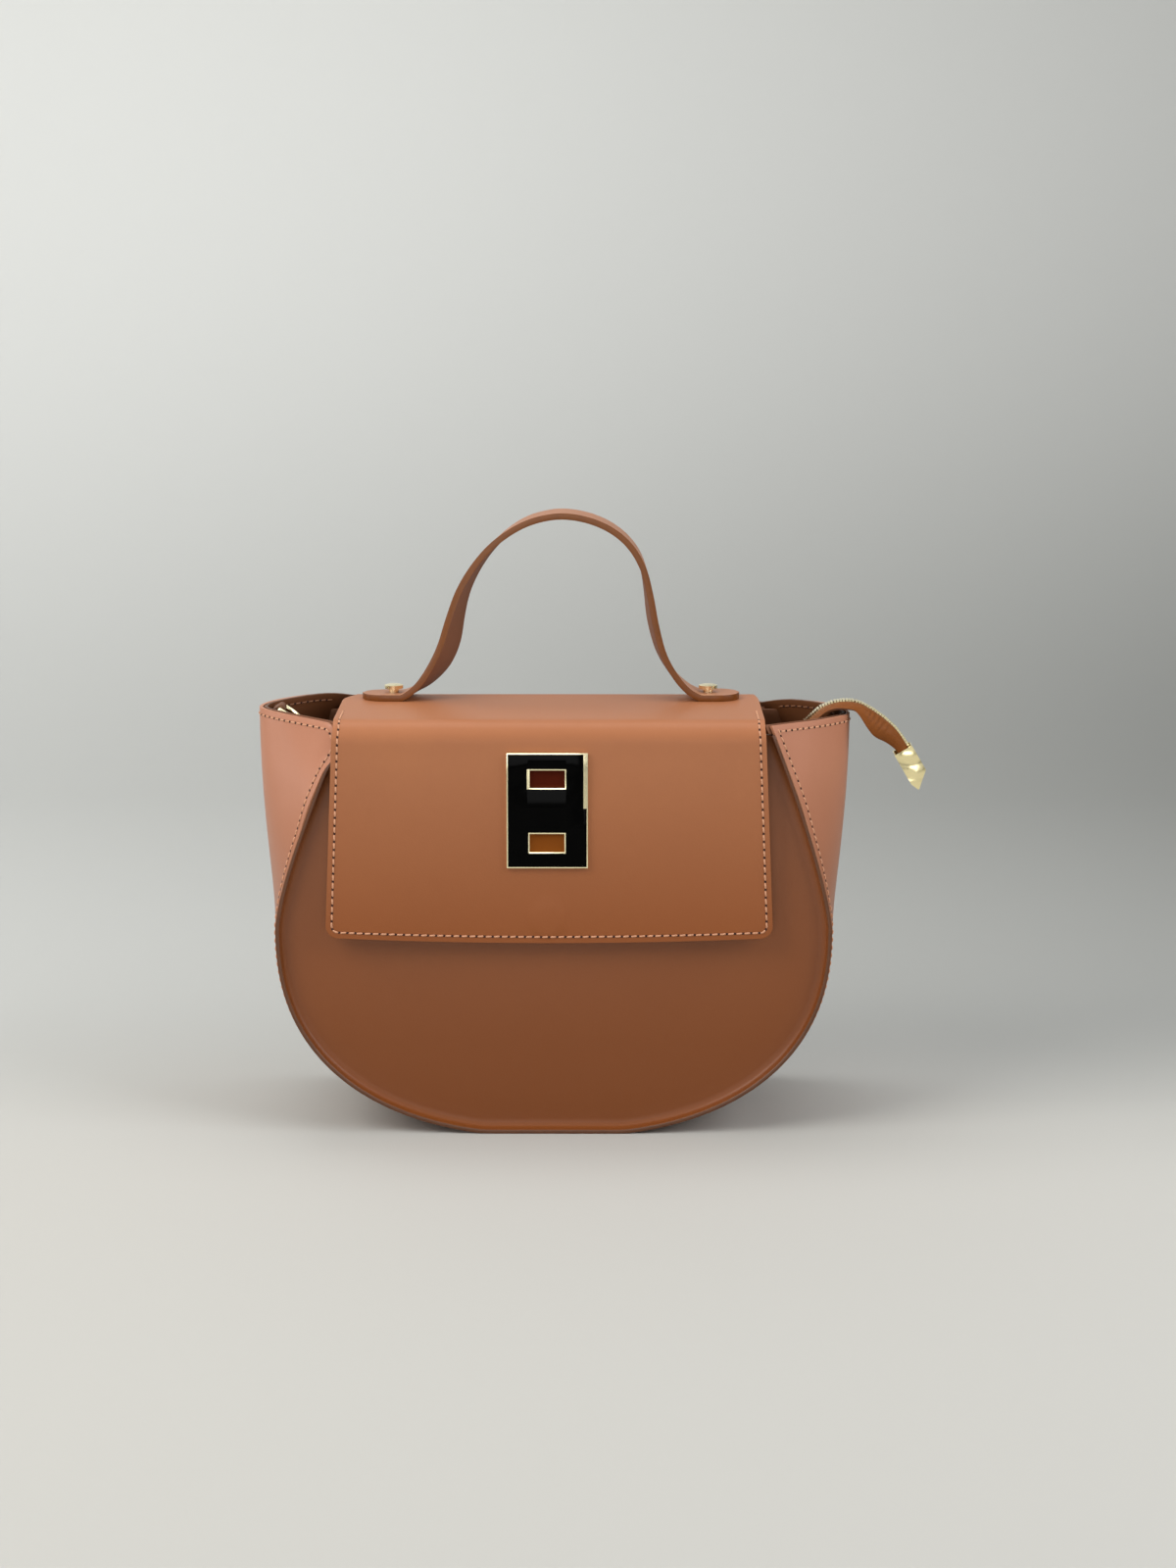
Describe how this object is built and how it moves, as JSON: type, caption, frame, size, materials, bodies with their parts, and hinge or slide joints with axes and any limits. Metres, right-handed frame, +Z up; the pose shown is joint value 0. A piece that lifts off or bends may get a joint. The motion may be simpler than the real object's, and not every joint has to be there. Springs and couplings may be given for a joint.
{
  "type": "handbag",
  "caption": "Half-moon handbag with flared wing gussets, a folding flap, a flat rocking top handle and a zip closure whose tail hangs over one wing",
  "frame": {"origin": "middle of the flat base, on the surface that the bag stands on", "axes": "+X to the viewer's right seen from the front, -Y out of the front, +Z up"},
  "size_m": [0.2948, 0.0955, 0.2666],
  "materials": {
    "body_leather": "smooth tan calf, semi-matt",
    "gusset_leather": "smooth tan calf, semi-matt",
    "flap_leather": "smooth tan calf, semi-matt",
    "handle_leather": "smooth tan calf, painted edges",
    "facing_leather": "thin calf, matt",
    "lining": "dark brown twill",
    "board": "matt fibre board",
    "zip_tape": "woven tape",
    "gilt": "polished light gold plating",
    "enamel": "gloss black enamel",
    "steel": "plain steel"
  },
  "bodies": {
    "bag": {"front_panel": "body_leather", "back_panel": "body_leather", "gusset": "gusset_leather", "lining_gusset": "lining", "lining_front": "lining", "lining_back": "lining", "base_board": "board", "mouth_facing_front": "facing_leather", "mouth_facing_back": "facing_leather", "wing_facing_left": "facing_leather", "wing_facing_right": "facing_leather", "ring_loop_left": "facing_leather", "ring_loop_right": "facing_leather", "magnet_socket": "gilt", "zip_end_strips": "facing_leather", "zip_end_tapes": "zip_tape", "zip_end_teeth": "gilt", "zip_ramp_halves": "facing_leather", "zip_ramp_teeth": "gilt"},
    "zip_front": {"zip_strip_front": "facing_leather", "zip_tape_front": "zip_tape", "zip_teeth_front": "gilt"},
    "zip_back": {"zip_strip_back": "facing_leather", "zip_tape_back": "zip_tape", "zip_teeth_back": "gilt"},
    "slider": {"zip_slider": "gilt"},
    "pull": {"zip_pull": "gilt"},
    "zip_tail": {"zip_tail_halves": "gusset_leather", "zip_tail_teeth": "gilt", "zip_end_cap": "gilt"},
    "ring_left": {"d_ring_left": "gilt"},
    "ring_right": {"d_ring_right": "gilt"},
    "flap_top": {"flap_top": "flap_leather", "flap_top_lining": "lining", "handle_tab_left": "handle_leather", "handle_tab_right": "handle_leather", "handle_screw_left": "gilt", "handle_screw_right": "gilt", "screw_backs": "steel"},
    "handle": {"handle_outer": "handle_leather", "handle_inner": "handle_leather"},
    "flap_front": {"flap_front": "flap_leather", "flap_front_lining": "lining", "clasp_frame": "gilt", "clasp_enamel": "enamel", "clasp_washers": "steel", "flap_magnet": "gilt"}
  },
  "joints": [
    {"name": "flap_lift", "type": "hinge", "parent": "bag", "child": "flap_top", "pos_m": [0, 0.0342, 0.1761], "axis": [-1, 0, 0], "range_deg": [0, 110]},
    {"name": "flap_fold", "type": "hinge", "parent": "flap_top", "child": "flap_front", "pos_m": [0, -0.0434, 0.1725], "axis": [-1, 0, 0], "range_deg": [0, 140]},
    {"name": "handle_swing", "type": "hinge", "parent": "flap_top", "child": "handle", "pos_m": [0, 0.0202, 0.1965], "axis": [-1, 0, 0], "range_deg": [-45, 45]},
    {"name": "zip_front_fold", "type": "hinge", "parent": "bag", "child": "zip_front", "pos_m": [0, -0.03141, 0.161], "axis": [-1, 0, 0], "range_deg": [0, 65]},
    {"name": "zip_back_fold", "type": "hinge", "parent": "bag", "child": "zip_back", "pos_m": [0, 0.03141, 0.161], "axis": [1, 0, 0], "range_deg": [0, 65]},
    {"name": "zip_slide", "type": "slide", "parent": "bag", "child": "slider", "axis": [1, 0, 0], "range_m": [0, 0.147]},
    {"name": "zip_pull_swing", "type": "hinge", "parent": "slider", "child": "pull", "pos_m": [-0.0735, 0, 0.1639], "axis": [0, -1, 0], "range_deg": [0, 180]},
    {"name": "zip_tail_lift", "type": "hinge", "parent": "bag", "child": "zip_tail", "pos_m": [0.1324, 0, 0.1855], "axis": [0, -1, 0], "range_deg": [0, 100]},
    {"name": "ring_left_swing", "type": "hinge", "parent": "bag", "child": "ring_left", "pos_m": [-0.12081, 0, 0.1815], "axis": [0, -1, 0], "range_deg": [-40, 120]},
    {"name": "ring_right_swing", "type": "hinge", "parent": "bag", "child": "ring_right", "pos_m": [0.12081, 0, 0.17138], "axis": [0, 1, 0], "range_deg": [0, 60]}
  ]
}
